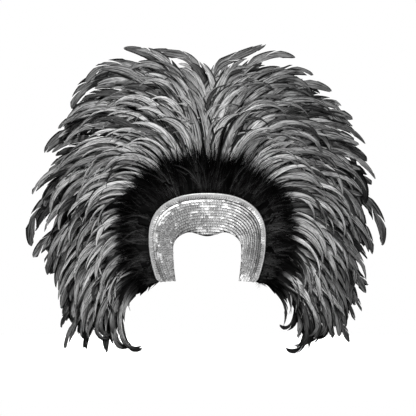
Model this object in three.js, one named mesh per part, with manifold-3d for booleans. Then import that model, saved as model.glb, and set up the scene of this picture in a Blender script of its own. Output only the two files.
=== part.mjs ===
// Carnival feather headdress, in millimetres, +Z up, with the wearer facing -Y.
// A padded, sequinned horseshoe band frames the face. A ruff of black down stands behind its
// outer edge, and six tiers of cock feathers rise from strips stacked behind the ruff, part at
// the top and droop to both sides. The origin is on the band's back, where its peak meets the
// forehead.
import * as THREE from "three";
import { mergeVertices } from "three/addons/utils/BufferGeometryUtils.js";
import Module from "manifold-3d";

const wasm = await Module();
wasm.setup();

// Edges of the band from the front: a superellipse arch down to its widest level, then legs that
// tuck in by an arc. The inner edge dips at the middle in a widow's peak.
const EDGE_POWER = 2.4;
const OUTER_EDGE = { halfWidth: 134.6, top: 99, widestZ: -5, endZ: -105, tuck: 19.6, peak: 0, peakHalf: 1 };
const INNER_EDGE = { halfWidth: 78, top: 14.2, widestZ: -29, endZ: -102, tuck: 6, peak: 14.2, peakHalf: 50 };
const ARCH_STEPS = 36;
const LEG_STEPS = 12;
const EDGE_SAMPLES = 90;

// Band and trim thickness, and the gap that neighbouring pieces keep
const GAP = 0.3;
const PANEL_EDGE = 2.5;
const PANEL_CROWN = 4;
const TRIM_WIDTH = 13;
const TRIM_HEIGHT = 7;
const BAND_STATIONS = 14;
const END_ROUNDING = 0.985;

// The whole headdress wraps round the head: a hyperbola in plan
const WRAP_RISE = 45;
const WRAP_HALF = 150;

// Strips that carry the down and the feathers, stacked behind the band
const STRIP_FRONT = 0.6;
const STRIP_THICK = 3;
const STRIP_WIDTH = 34;
const STRIP_INSET = 2;
const TOP_SLIT = 0.4;
const STRIP_STATIONS = 5;

// How the tiers part from each other in depth with their distance from the band's outer edge
const REACH = 300;
const FAN_POWER = 1.25;
const BULGE = 20;
const DRAPE = 44;
const DRAPE_FROM = 8;
const DRAPE_FULL = 120;
const STRAY_FAN = 17;
const LEFT_TUCK = 4.2;
const LOWER_TUCK = 2.2;

// Feather sizes
const ROOT_INSET = 18;
const FEATHER_WIDTH = 27;
const QUILL_SHARE = 0.16;
const TAPER_FROM = 0.6;
const PATH_STEPS = 24;
const CURL_FROM = 0.8;
const LOWEST_END = -140;
const BEND_TRIES = 24;
const FEATHER_STATIONS = [0, 0.08, 0.28, 0.48, 0.64, 0.78, 0.9, 1];
const WIDTH_JITTER = 0.2;
const LENGTH_JITTER = 0.07;
const START_JITTER = 6;
const START_MOST = 91;
const END_JITTER = 14;
const PLACE_JITTER = 0.3;
const SEAM_CLEAR = 0.045;

// Sections of a feather, ridged along its shaft, and of a lock of down, as shares of the half width
// with a lift to the back
const FEATHER_SECTION = [
  { across: -1, lift: 0.5 },
  { across: 0, lift: -0.9 },
  { across: 1, lift: 0.5 },
];
const LOCK_SECTION = [
  { across: -1, lift: 0.9 },
  { across: 0, lift: -1.4 },
  { across: 1, lift: 0.9 },
];

// Lie of the feathers by place along the outer edge, from 0 at the top middle to 1 at a leg's end:
// heading at the root and at the tip in degrees above the side, length, and how late they bend
const FLOW = [
  { place: 0.0, start: 91, end: 14, length: 392, power: 4.6 },
  { place: 0.1, start: 84, end: -14, length: 392, power: 2.7 },
  { place: 0.24, start: 71, end: -48, length: 384, power: 1.9 },
  { place: 0.4, start: 54, end: -72, length: 356, power: 1.5 },
  { place: 0.56, start: 33, end: -85, length: 324, power: 1.3 },
  { place: 0.72, start: 10, end: -90, length: 304, power: 1.2 },
  { place: 0.88, start: -3, end: -84, length: 276, power: 1.15 },
  { place: 1.0, start: -4, end: -82, length: 208, power: 1.1 },
];

// Tiers from front to back: feathers a side, share of the flow's length, stagger along the edge,
// and how far the tips stand back at full reach
const TIERS = [
  { count: 10, share: 0.62, stagger: 0.5, fan: -75 },
  { count: 11, share: 0.74, stagger: 0.05, fan: -41 },
  { count: 11, share: 0.85, stagger: 0.55, fan: -7 },
  { count: 11, share: 0.95, stagger: 0.25, fan: 27 },
  { count: 11, share: 1.0, stagger: 0.75, fan: 61 },
  { count: 10, share: 0.96, stagger: 0.1, fan: 95 },
];

// Single feathers that stand out of the outline, by where their tips end. The bend ends at the share
// bent of the length, or at the tip, and curl turns the last fifth further.
const STRAYS = [
  { side: -1, tier: 5, place: 0.03, start: 91, tipX: 190, tipZ: 434, power: 5, bent: 0.82, width: 28 },
  { side: -1, tier: 4, place: 0.08, start: 88, tipX: 219, tipZ: 400, power: 3, width: 26 },
  { side: -1, tier: 5, place: 0.13, start: 83, tipX: 265, tipZ: 378, power: 2.6, width: 28 },
  { side: -1, tier: 4, place: 0.17, start: 79, tipX: 318, tipZ: 294, power: 2.2, width: 30 },
  { side: -1, tier: 5, place: 0.3, start: 66, tipX: 380, tipZ: 193, power: 1.8, width: 28 },
  { side: -1, tier: 4, place: 0.45, start: 50, tipX: 384, tipZ: 83, power: 1.6, width: 28 },
  { side: -1, tier: 5, place: 0.56, start: 52, tipX: 412, tipZ: -25, power: 1.3, width: 28 },
  { side: -1, tier: 4, place: 0.8, start: 0, tipX: 341, tipZ: -213, power: 1, width: 18 },
  { side: -1, tier: 3, place: 0.86, start: -12, tipX: 332, tipZ: -262, power: 1, width: 17 },
  { side: -1, tier: 5, place: 0.92, start: -14, tipX: 288, tipZ: -262, power: 1, width: 17 },
  { side: -1, tier: 4, place: 0.965, start: -8, tipX: 150, tipZ: -259, power: 0.8, curl: 130, width: 15 },
  { side: -1, tier: 3, place: 0.985, start: -6, tipX: 171, tipZ: -234, power: 0.8, curl: 140, width: 15 },
  { side: 1, tier: 5, place: 0.03, start: 90, tipX: 135, tipZ: 444, power: 2.6, width: 26 },
  { side: 1, tier: 4, place: 0.08, start: 86, tipX: 206, tipZ: 412, power: 2.5, width: 26 },
  { side: 1, tier: 5, place: 0.12, start: 82, tipX: 248, tipZ: 373, power: 2.3, width: 26 },
  { side: 1, tier: 4, place: 0.17, start: 77, tipX: 273, tipZ: 348, power: 2.1, width: 28 },
  { side: 1, tier: 5, place: 0.24, start: 70, tipX: 340, tipZ: 272, power: 1.8, width: 28 },
  { side: 1, tier: 5, place: 0.34, start: 60, tipX: 372, tipZ: 182, power: 1.6, width: 28 },
  { side: 1, tier: 4, place: 0.42, start: 54, tipX: 383, tipZ: 120, power: 1.5, width: 28 },
  { side: 1, tier: 5, place: 0.56, start: 50, tipX: 408, tipZ: -23, power: 1.3, width: 28 },
  { side: 1, tier: 4, place: 0.7, start: 8, tipX: 374, tipZ: -115, power: 1, width: 16 },
  { side: 1, tier: 5, place: 0.8, start: 0, tipX: 345, tipZ: -197, power: 1, width: 18 },
  { side: 1, tier: 4, place: 0.86, start: -10, tipX: 331, tipZ: -248, power: 1, width: 17 },
  { side: 1, tier: 4, place: 0.955, start: -8, tipX: 165, tipZ: -202, power: 1, curl: 120, width: 14 },
  { side: 1, tier: 3, place: 0.975, start: -10, tipX: 179, tipZ: -257, power: 1, curl: 130, width: 15 },
];

// Locks of down in the ruff
const RUFF = { count: 16, fan: -112, sideLength: 96, topLength: 116, rootWidth: 9, width: 22, bend: 0.12 };
const LOCK_STATIONS = [0, 0.2, 0.5, 0.8, 1];

const LOOKS = {
  sequins: { color: 0xb9bcbf, roughness: 0.25, metalness: 0.9 },
  trim: { color: 0xc6c9cc, roughness: 0.2, metalness: 0.9 },
  down: { color: 0x0c0c0d, roughness: 0.95, metalness: 0 },
  feather: { color: 0x5c5d5f, roughness: 0.55, metalness: 0 },
};

// Repeatable noise from -1 to 1
function jitter(seed) {
  const value = Math.sin(seed * 12.9898 + 4.1414) * 43758.5453;
  return 2 * (value - Math.floor(value)) - 1;
}

function edgeCurve({ halfWidth, top, widestZ, endZ, tuck, peak, peakHalf }) {
  const points = [];
  for (let i = 0; i <= ARCH_STEPS; i++) {
    const turn = ((i / ARCH_STEPS) * Math.PI) / 2;
    const x = halfWidth * Math.sin(turn) ** (2 / EDGE_POWER);
    const arch = widestZ + (top - widestZ) * Math.cos(turn) ** (2 / EDGE_POWER);
    const dip = x < peakHalf ? peak * Math.cos((Math.PI / 2) * (x / peakHalf)) ** 2 : 0;
    points.push(new THREE.Vector2(x, arch - dip));
  }
  for (let i = 1; i <= LEG_STEPS; i++) {
    const share = i / LEG_STEPS;
    points.push(new THREE.Vector2(halfWidth - tuck * share ** 2, widestZ + (endZ - widestZ) * share));
  }
  return new THREE.SplineCurve(points);
}

const outerEdge = edgeCurve(OUTER_EDGE);
const innerEdge = edgeCurve(INNER_EDGE);

function outwardAt(place) {
  const tangent = outerEdge.getTangentAt(place);
  return new THREE.Vector2(-tangent.y, tangent.x);
}

// Point inside the outer edge by an inset, on the right half
function insideEdge(place, inset) {
  return outerEdge.getPointAt(place).addScaledVector(outwardAt(place), -inset);
}

const edgeSamples = outerEdge.getSpacedPoints(EDGE_SAMPLES).map((point, i) => {
  return { point, outward: outwardAt(i / EDGE_SAMPLES) };
});

// Distance beyond the band's outer edge; 0 on the band
function beyondEdge(x, z) {
  const place = new THREE.Vector2(Math.abs(x), z);
  const gap = (sample) => place.distanceTo(sample.point);
  const nearest = edgeSamples.reduce((best, sample) => (gap(sample) < gap(best) ? sample : best));
  const isOutside = place.clone().sub(nearest.point).dot(nearest.outward) > 0;
  return isOutside ? gap(nearest) : 0;
}

function wrap(x) {
  return WRAP_RISE * (Math.hypot(1, x / WRAP_HALF) - 1);
}

// Depth of a layer at a place seen from the front. Layers with a larger fan lie further back
// everywhere, so they never cross. Feathers rooted lower lie behind those that drape over them.
function layerDepth(x, z, layer, root) {
  const beyond = beyondEdge(x, z);
  const share = Math.min(beyond / REACH, 1.2);
  const fan = (layer.fan + root.fan) * share ** FAN_POWER;
  const bulge = BULGE * Math.sin(Math.PI * Math.min(share, 1)) ** 2;
  const tuck = (root.side < 0 ? LEFT_TUCK : 0) + (root.place > 0.5 ? LOWER_TUCK : 0);
  const drape = (DRAPE * root.place + tuck) * THREE.MathUtils.smoothstep(beyond, DRAPE_FROM, DRAPE_FULL);
  return wrap(x) + layer.depth + fan - bulge + drape;
}

// Closed solid through rings of points with the same count; a ring of one point closes to a tip
function loft(rings) {
  const positions = [];
  const put = (a, b, c) => positions.push(...a.toArray(), ...b.toArray(), ...c.toArray());
  const count = rings[0].length;
  for (let r = 0; r + 1 < rings.length; r++) {
    const [near, far] = [rings[r], rings[r + 1]];
    for (let i = 0; i < count; i++) {
      const j = (i + 1) % count;
      put(near[i], near[j], far[far.length === 1 ? 0 : j]);
      if (far.length > 1) put(near[i], far[j], far[i]);
    }
  }
  const last = rings[rings.length - 1];
  for (let i = 1; i + 1 < count; i++) {
    put(rings[0][0], rings[0][i + 1], rings[0][i]);
    if (last.length > 1) put(last[0], last[i], last[i + 1]);
  }
  const geometry = new THREE.BufferGeometry();
  geometry.setAttribute("position", new THREE.Float32BufferAttribute(positions, 3));
  return mergeVertices(geometry, 1e-4);
}

function toSolid(geometry) {
  const triVerts = new Uint32Array(geometry.index.array);
  const mesh = (order) =>
    new wasm.Mesh({ numProp: 3, vertProperties: geometry.attributes.position.array, triVerts: order });
  const solid = new wasm.Manifold(mesh(triVerts));
  if (solid.volume() > 0) return solid;
  return new wasm.Manifold(mesh(triVerts.reverse()));
}

function toGeometry(solid) {
  const mesh = solid.getMesh();
  const geometry = new THREE.BufferGeometry();
  geometry.setAttribute("position", new THREE.BufferAttribute(mesh.vertProperties, 3));
  geometry.setIndex(new THREE.BufferAttribute(mesh.triVerts, 1));
  geometry.computeVertexNormals();
  return geometry;
}

function addPiece(group, name, solids, look) {
  const joined = solids.reduce((whole, solid) => whole.add(solid));
  const piece = new THREE.Mesh(toGeometry(joined), new THREE.MeshStandardMaterial(look));
  piece.name = name;
  group.add(piece);
}

// Ring across the band at a signed place, from -1 at the left leg's end to 1 at the right one's;
// section gives the ring's corners as shares of the width between from and to, with their heights
function bandRing(place, from, to, section) {
  const q = Math.abs(place);
  const side = place < 0 ? -1 : 1;
  const inner = innerEdge.getPointAt(q);
  const across = outerEdge.getPointAt(q).sub(inner);
  const width = across.length();
  const thin = q > END_ROUNDING ? 0.5 : 1;
  return section.map(({ share, height }) => {
    const reach = (from(width) + (to(width) - from(width)) * share) / width;
    const x = side * (inner.x + across.x * reach);
    return new THREE.Vector3(x, wrap(x) - height * thin, inner.y + across.y * reach);
  });
}

function bandSolid(from, to, section) {
  const rings = [];
  for (let i = -BAND_STATIONS; i <= BAND_STATIONS; i++) {
    rings.push(bandRing(i / BAND_STATIONS, from, to, section));
    if (Math.abs(i) === BAND_STATIONS - 1 && i > 0) rings.push(bandRing(END_ROUNDING, from, to, section));
    if (i === -BAND_STATIONS) rings.push(bandRing(-END_ROUNDING, from, to, section));
  }
  return toSolid(loft(rings));
}

// Padded face of the band, crowned from the inner edge to the trim
function addPanel(group) {
  const crown = (share) => PANEL_EDGE + PANEL_CROWN * (1 - (2 * share - 1) ** 4);
  const front = [0, 0.12, 0.35, 0.65, 0.88, 1].map((share) => ({ share, height: crown(share) }));
  const back = [{ share: 1, height: 0 }, { share: 0, height: 0 }];
  const outer = (width) => width - TRIM_WIDTH - GAP;
  addPiece(group, "sequin_panel", [bandSolid(() => 0, outer, [...front, ...back])], LOOKS.sequins);
}

// Rolled row of overlapping sequins along the outer edge
function addTrim(group) {
  const front = [20, 60, 100, 140, 170].map((degrees) => {
    const angle = THREE.MathUtils.degToRad(degrees);
    return { share: (1 - Math.cos(angle)) / 2, height: TRIM_HEIGHT * Math.sin(angle) ** 0.7 };
  });
  const section = [{ share: 0, height: 0 }, ...front, { share: 1, height: 0 }];
  const inner = (width) => width - TRIM_WIDTH;
  const outer = (width) => width;
  addPiece(group, "edge_trim", [bandSolid(inner, outer, section)], LOOKS.trim);
}

// Depth of a strip's middle in the stack, counted from the band
function stripDepth(index) {
  return STRIP_FRONT + STRIP_THICK / 2 + index * (STRIP_THICK + GAP);
}

// Stiff strip behind the band's outer edge that carries one quarter of a layer
function stripSolid(layer, side, lower) {
  const half = GAP / 2 / outerEdge.getLength();
  const [from, to] = lower ? [0.5 + half, 1] : [TOP_SLIT / outerEdge.getLength(), 0.5 - half];
  const rings = [];
  for (let i = 0; i < STRIP_STATIONS; i++) {
    const place = from + ((to - from) * i) / (STRIP_STATIONS - 1);
    const corner = (inset, face) => {
      const point = insideEdge(place, inset);
      const y = wrap(point.x) + layer.depth + (face * STRIP_THICK) / 2;
      return new THREE.Vector3(side * point.x, y, point.y);
    };
    const [outer, inner] = [STRIP_INSET, STRIP_INSET + STRIP_WIDTH];
    rings.push([corner(inner, -1), corner(outer, -1), corner(outer, 1), corner(inner, 1)]);
  }
  return toSolid(loft(rings));
}

function flowAt(place) {
  const above = FLOW.findIndex((row) => row.place >= place);
  const [low, high] = [FLOW[Math.max(above - 1, 0)], FLOW[above]];
  const share = high.place > low.place ? (place - low.place) / (high.place - low.place) : 0;
  const mix = (key) => THREE.MathUtils.lerp(low[key], high[key], share);
  return { start: mix("start"), end: mix("end"), length: mix("length"), power: mix("power") };
}

// Steps along a feather of length 1, from its heading at each share of the length
function unitSteps({ start, end, power, bent = 1, curl = 0 }) {
  return Array.from({ length: PATH_STEPS }, (_, i) => {
    const t = (i + 0.5) / PATH_STEPS;
    const hook = curl * Math.max(0, (t - CURL_FROM) / (1 - CURL_FROM)) ** 1.5;
    const heading = THREE.MathUtils.degToRad(start + (end - start) * Math.min(1, t / bent) ** power - hook);
    return new THREE.Vector2(Math.cos(heading), Math.sin(heading)).divideScalar(PATH_STEPS);
  });
}

// Line of a feather's spine seen from the front, on the right half
function spine(plan) {
  const points = [insideEdge(plan.place, ROOT_INSET)];
  for (const step of unitSteps(plan)) {
    points.push(points[points.length - 1].clone().addScaledVector(step, plan.length));
  }
  return new THREE.SplineCurve(points);
}

// Heading at the tip and length that bring a single feather's tip to its place
function reachTip(stray) {
  const way = new THREE.Vector2(stray.tipX, stray.tipZ).sub(insideEdge(stray.place, ROOT_INSET));
  const chord = (end) => unitSteps({ ...stray, end }).reduce((sum, step) => sum.add(step));
  let [low, high] = [LOWEST_END, stray.start];
  for (let i = 0; i < BEND_TRIES; i++) {
    const end = (low + high) / 2;
    const isTooHigh = chord(end).cross(way) < 0;
    [low, high] = isTooHigh ? [low, end] : [end, high];
  }
  return { ...stray, end: low, length: way.length() / chord(low).length(), fan: STRAY_FAN };
}

// Share of the full width along a feather: a quill, a long vane and a rounded point
function vaneShare(t) {
  const grow = THREE.MathUtils.clamp(QUILL_SHARE + ((1 - QUILL_SHARE) * (t - 0.05)) / 0.33, QUILL_SHARE, 1);
  const taper = t > TAPER_FROM ? (1 - ((t - TAPER_FROM) / (1 - TAPER_FROM)) ** 2.6) ** 0.7 : 1;
  return grow * taper;
}

// A blade along a spine, with a section that closes to a point at the tip
function blade(plan, layer, stations, section, halfWidthAt) {
  const curve = spine(plan);
  const rings = stations.map((t) => {
    const at = curve.getPoint(t);
    const tangent = curve.getTangent(t);
    const corner = ({ across, lift }) => {
      const x = plan.side * (at.x - tangent.y * across * halfWidthAt(t));
      const z = at.y + tangent.x * across * halfWidthAt(t);
      return new THREE.Vector3(x, layerDepth(x, z, layer, plan) + lift, z);
    };
    return t < 1 ? section.map(corner) : [corner({ across: 0, lift: 0 })];
  });
  return toSolid(loft(rings));
}

// Keeps roots off the seams between the quarters
function clearOfSeams(place) {
  const off = place < 0.5 ? Math.min(place, 0.5 - SEAM_CLEAR) : Math.max(place, 0.5 + SEAM_CLEAR);
  return THREE.MathUtils.clamp(off, 0.03, 0.995);
}

// Plans of all feathers of a tier, drawn from the flow with a little noise, and its strays
function tierPlans(tier, index) {
  const plans = [];
  for (const side of [-1, 1]) {
    for (let i = 0; i < tier.count; i++) {
      const seed = 7 * (1 + i + tier.count * ((side + 1) / 2 + 2 * index));
      const step = i + 0.15 + 0.75 * tier.stagger + PLACE_JITTER * jitter(seed + 1);
      const place = clearOfSeams(step / tier.count);
      const lie = flowAt(place);
      plans.push({
        side,
        place,
        fan: 0,
        start: Math.min(START_MOST, lie.start + START_JITTER * jitter(seed + 2)),
        end: lie.end + END_JITTER * jitter(seed + 3),
        length: lie.length * tier.share * (1 + LENGTH_JITTER * jitter(seed + 4)),
        width: FEATHER_WIDTH * (1 + WIDTH_JITTER * jitter(seed + 5)),
        power: lie.power,
      });
    }
  }
  return [...plans, ...STRAYS.filter((stray) => stray.tier === index).map(reachTip)];
}

const QUARTERS = [
  { name: "left_upper", side: -1, lower: false },
  { name: "left_lower", side: -1, lower: true },
  { name: "right_upper", side: 1, lower: false },
  { name: "right_lower", side: 1, lower: true },
];

// One tier of feathers, in four quarters, each fused to its strip
function addTier(group, tier, index) {
  const layer = { fan: tier.fan, depth: stripDepth(index + 1) };
  const plans = tierPlans(tier, index);
  for (const { name, side, lower } of QUARTERS) {
    const own = plans.filter((plan) => plan.side === side && plan.place >= 0.5 === lower);
    const blades = own.map((plan) => {
      const half = (t) => (plan.width / 2) * vaneShare(t);
      return blade(plan, layer, FEATHER_STATIONS, FEATHER_SECTION, half);
    });
    const strip = stripSolid(layer, side, lower);
    addPiece(group, `feather_tier_${index + 1}_${name}`, [strip, ...blades], LOOKS.feather);
  }
}

// Ruff of black down in four quarters, each a row of thick locks fused to its strip
function addRuff(group) {
  const layer = { fan: RUFF.fan, depth: stripDepth(0) };
  for (const { name, side, lower } of QUARTERS) {
    const locks = [];
    for (let i = 0; i < RUFF.count / 2; i++) {
      const place = clearOfSeams((i + 0.5) / RUFF.count + (lower ? 0.5 : 0));
      const { start, end } = flowAt(place);
      const tip = start + RUFF.bend * (end - start);
      const length = THREE.MathUtils.lerp(RUFF.topLength, RUFF.sideLength, Math.min(1, 2 * place));
      const plan = { side, place, fan: 0, start, end: tip, length, power: 1 };
      const width = (t) => THREE.MathUtils.lerp(RUFF.rootWidth, RUFF.width, Math.min(1, 2 * t));
      const half = (t) => (width(t) / 2) * Math.sqrt(1 - t ** 4);
      locks.push(blade(plan, layer, LOCK_STATIONS, LOCK_SECTION, half));
    }
    addPiece(group, `down_ruff_${name}`, [stripSolid(layer, side, lower), ...locks], LOOKS.down);
  }
}

const band = new THREE.Group();
addPanel(band);
addTrim(band);

const plumage = new THREE.Group();
addRuff(plumage);
TIERS.forEach((tier, index) => addTier(plumage, tier, index));

const headdress = new THREE.Group();
headdress.add(band, plumage);

export default headdress;
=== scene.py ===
import math
from dataclasses import dataclass, replace

import bpy
import numpy as np
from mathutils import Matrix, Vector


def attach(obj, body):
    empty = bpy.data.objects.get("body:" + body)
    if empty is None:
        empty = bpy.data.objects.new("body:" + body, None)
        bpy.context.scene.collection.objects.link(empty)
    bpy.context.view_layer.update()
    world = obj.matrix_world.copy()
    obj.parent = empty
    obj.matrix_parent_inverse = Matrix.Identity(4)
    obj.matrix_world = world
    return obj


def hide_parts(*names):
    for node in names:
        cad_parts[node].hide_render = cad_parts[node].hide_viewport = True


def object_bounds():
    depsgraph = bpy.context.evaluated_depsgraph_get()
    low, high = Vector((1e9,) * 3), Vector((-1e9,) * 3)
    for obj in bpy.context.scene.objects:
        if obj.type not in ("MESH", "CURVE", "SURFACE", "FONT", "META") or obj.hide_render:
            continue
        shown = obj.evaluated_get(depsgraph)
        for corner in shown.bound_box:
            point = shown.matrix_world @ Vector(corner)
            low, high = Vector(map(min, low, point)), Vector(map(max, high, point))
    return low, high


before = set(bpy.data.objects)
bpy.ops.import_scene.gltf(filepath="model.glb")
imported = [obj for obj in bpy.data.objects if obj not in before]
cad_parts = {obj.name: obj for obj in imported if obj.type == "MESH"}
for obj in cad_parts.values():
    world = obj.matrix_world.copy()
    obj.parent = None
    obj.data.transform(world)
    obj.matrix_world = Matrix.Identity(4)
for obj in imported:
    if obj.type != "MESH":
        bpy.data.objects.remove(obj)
cad_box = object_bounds()
cad_middle = (cad_box[0] + cad_box[1]) / 2

MM = 0.001

# Quarters of the ruff and of each tier: the side, and whether it is the lower one. A place on the band is
# the share of its edge's length from 0 at the top middle to 1 at a leg's end.
QUARTERS = {
    "left_upper": (-1, False),
    "left_lower": (-1, True),
    "right_upper": (1, False),
    "right_lower": (1, True),
}
MIDDLE_SEAM = 0.5

# Edges of the band seen from the front, and its thickness
EDGE_POWER = 2.4
EDGE_STEPS = 400
EDGE_SAMPLES = 121
OUTER_EDGE = dict(half_width=134.6, top=99, widest_z=-5, end_z=-105, tuck=19.6)
INNER_EDGE = dict(half_width=78, top=14.2, widest_z=-29, end_z=-102, tuck=6, peak=14.2, peak_half=50)
TRIM_WIDTH = 13
TRIM_HEIGHT = 7
PANEL_EDGE = 2.5
PANEL_CROWN = 4
CROWN_POWER = 4
GAP = 0.3
END_CORNER = 9
END_FROM = 0.965

# The whole headdress wraps round the head: a hyperbola in plan
WRAP_RISE = 45
WRAP_HALF = 150

# Strips that carry the down and the feathers, stacked behind the band, with the section of a strip as
# shares of its width and its thickness
STRIP_FRONT = 0.6
STRIP_THICK = 3
STRIP_WIDTH = 34
STRIP_INSET = 2
STRIP_STATIONS = 40
STRIP_ACROSS = np.array([0, 0.04, 0.96, 1, 1, 0.96, 0.04, 0])
STRIP_DEEP = np.array([-0.3, -0.5, -0.5, -0.3, 0.3, 0.5, 0.5, 0.3])
TOP_SLIT = 0.4

# How the tiers part from each other in depth with their distance from the band's outer edge
REACH = 300
REACH_MOST = 1.2
FAN_POWER = 1.25
BULGE = 20
DRAPE = 44
DRAPE_FROM = 8
DRAPE_FULL = 120
LEFT_TUCK = 4.2
LOWER_TUCK = 2.2

# Feather sizes, and how far a feather may stray from the flow
ROOT_INSET = 18
FEATHER_WIDTH = 24
PATH_STEPS = 48
CURL_FROM = 0.8
CURL_POWER = 1.5
LOWEST_END = -140
BEND_TRIES = 24
WIDTH_JITTER = 0.3
LENGTH_JITTER = 0.07
START_JITTER = 6
START_MOST = 91
END_JITTER = 14
PLACE_JITTER = 0.3
FAN_SPREAD = 7
SEAM_CLEAR = 0.045
FIRST_PLACE = 0.03
FURTHEST_PLACE = 0.995
LAST_PLACE = {-1: 0.995, 1: 0.95}

# Lie of the feathers by place along the outer edge: heading at the root and at the tip in degrees above
# the side, length, and how late they bend
FLOW_PLACE = [0, 0.1, 0.24, 0.4, 0.56, 0.72, 0.88, 1]
FLOW_START = [91, 84, 71, 54, 33, 10, -3, -4]
FLOW_END = [14, -14, -48, -72, -85, -90, -84, -82]
FLOW_LENGTH = [392, 392, 384, 356, 324, 304, 276, 208]
FLOW_POWER = [4.6, 2.7, 1.9, 1.5, 1.3, 1.2, 1.15, 1.1]

# Tiers from front to back
TIER_COLUMNS = dict(
    count=[10, 11, 11, 11, 11, 10],  # main feathers a side
    share=[0.62, 0.74, 0.85, 0.95, 1.0, 0.96],  # of the flow's length
    stagger=[0.5, 0.05, 0.55, 0.25, 0.75, 0.1],  # along the edge
    fan=[-75, -41, -7, 27, 61, 95],  # how far the tips stand back at full reach
    tone=[1.05, 1.0, 1.0, 0.9, 0.85, 0.8],  # how light the feathers are
    blunt=[0, 0, 0.25, 0.5, 0.85, 1],  # from pointed tips to rounded ones
    fill=[56, 40, 34, 30, 26, 24],  # feathers a side that fill the tier
    slim=[0.6, 0.7, 0.85, 0.9, 0.95, 0.95],  # width of those
    outline=[0, 0, 18, 22, 24, 26],  # feathers a side that reach to the fan's outline
    short=[0, 0, 62, 34, 14, 4],  # how far short of it they end
)
TIERS = [dict(zip(TIER_COLUMNS, row)) for row in zip(*TIER_COLUMNS.values())]

# Repeatable noise, the first seed of each kind of feather, and the steps from one feather to the next
NOISE_RATE = 12.9898
NOISE_SHIFT = 4.1414
NOISE_SCALE = 43758.5453
FILL_SEED = 5000
HOOK_SEED = 20000
OUTLINE_SEED = 30000
FLOW_SEED_STEP = 7
TIP_SEED_STEP = 9
SEEDS_A_SIDE = 100

# Main feathers of a tier, which lie in front of the others
MAIN_STEP = 0.15
STAGGER_STEP = 0.75
MAIN_FORWARD = 11
MAIN_BLUNT = 0.35
MAIN_BARE = [-16, -12, -12, 28]
MAIN_TONE = 0.6

# Feathers that fill each tier between its main ones, closer together at the top, where they rise beside
# the parting before they bend
FILL_PLACE_POWER = 1.25
FILL_FAN = 16
FILL_START_JITTER = 14
FILL_END_JITTER = 30
FILL_START_MOST = 97
FILL_START = [5, 3, 0, 0, 0, 0, 0, 0]
FILL_END = [-10, -22, -20, -16, -12, -8, -4, 0]
FILL_LENGTH = [0.8, 0.92, 1, 1, 1, 1, 1, 1]
FILL_POWER = [1.6, 1.4, 1.25, 1.15, 1.1, 1, 1, 1]

# How far the fan reaches at each side, from the parting round to the lower end, and the place along the
# edge from which the feathers spring that reach there
OUTLINE_PLACE = [0.03, 0.07, 0.11, 0.16, 0.22, 0.3, 0.38, 0.48, 0.58, 0.7, 0.8, 0.9, 0.95]
OUTLINE_X = {
    -1: [40, 109, 182, 252, 312, 354, 370, 376, 376, 366, 328, 282, 222],
    1: [35, 85, 167, 236, 290, 350, 372, 380, 374, 368, 322, 282, 228],
}
OUTLINE_Z = {
    -1: [385, 400, 402, 368, 305, 236, 190, 105, 0, -108, -196, -226, -220],
    1: [392, 396, 378, 358, 328, 252, 194, 118, 0, -112, -182, -222, -218],
}
OUTLINE_LATE = 1.35
OUTLINE_WIDTH = 0.9
OUTLINE_STEP_JITTER = 0.4
OUTLINE_PLACE_JITTER = 0.03
OUTLINE_START_JITTER = 5
OUTLINE_SHORT = 6
OUTLINE_SHORT_JITTER = 12

# Lightness of the feathers: some are nearly black, partly as painted shade in the gaps between the
# lighter ones.
# The base of each is bare of light vane for a length that varies, and the few that stay black for a long
# way add painted shade to the gaps near the ruff. The tips are darker, partly as painted shade and more
# so on the right, away from the key lamp, but lighter low on the left, as painted light where the
# feathers above shade them
TONE_SPREAD = 0.28
DARK_SHARE = 0.22
DARK_TONE = 0.12
BARE_PLACE = [0.15, 0.5, 0.86, 0.98]
BARE_LEAST = [-28, -36, -42, 0]
BARE_SPREAD = 125
BARE_POWER = 2.0
TIP_FROM = 0.66
# Tip darkness by side: painted shade, stronger on the right, away from the key lamp
TIP_DARK = {-1: 0.05, 1: 0.46}
TIP_DARK_SPREAD = 0.32
# Lighter tips low on the left: painted light where the feathers above shade them
LOW_TIP_LIGHT = {-1: 0.6, 1: 0.3}
LOW_TIP_FROM = 0.4
LOW_TIP_FULL = 0.75
END_DIM = {-1: 0.6, 1: 0.2}
END_DIM_FROM = 0.88
END_DIM_FULL = 0.97

# Width along a feather: a quill, a vane that grows to its full width, and a tip from pointed to rounded
QUILL_SHARE = 0.16
QUILL_TO = 0.05
VANE_GROWS = 0.33
POINTED_FROM = 0.42
ROUNDED_FROM = 0.76
POINTED_POWER = 1.3
ROUNDED_POWER = 2.4
ROUNDED_ROOT = 0.5

# Barbs of a feather, which hold together in groups with slits between them
VANE_FROM = 0.07
VANE_TO = 0.985
BARBS_LEAST = 14
BARB_STEP = 7
BARB_LEAN = 1.7
BARB_LEAD = 8
BARB_STATIONS = np.array([0, 0.4, 0.75, 1.0])
GROUP_LEAST = 2
GROUP_MOST = 9
SLIT = 2.7
ROOF = 1.8
ROOF_POWER = 1.3
SWEEP_POWER = 1.25
OUT_POWER = 0.9
ROLL_ROOT = 14
ROLL_TIP = 36
VANE_NUMBERS = 100

# How the groups of barbs differ, and how much more where the base is loose and downy
LEAD_SPREAD = 0.16
WIDE_SPREAD = 0.12
RAISED_SPREAD = 1.0
GROUP_TONE_SPREAD = 0.08
GROUP_TONE_RANGE = (0.5, 1.4)
DOWN_REACH = 95
LOOSE_SHARE = 0.6
LOOSE_LEAD = 0.5
LOOSE_WIDE = 5
LOOSE_RAISED = 2.5

# Shafts, with the three corners of a shaft's section as shares of its radius
SHAFT_STATIONS = 16
SHAFT_ROOT = 1.2
SHAFT_TIP = 0.25
SHAFT_ACROSS = np.array([-1, 0, 1])
SHAFT_LIFT = np.array([0.4, -1.1, 0.4])
SHAFT_TONE = 0.8


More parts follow.
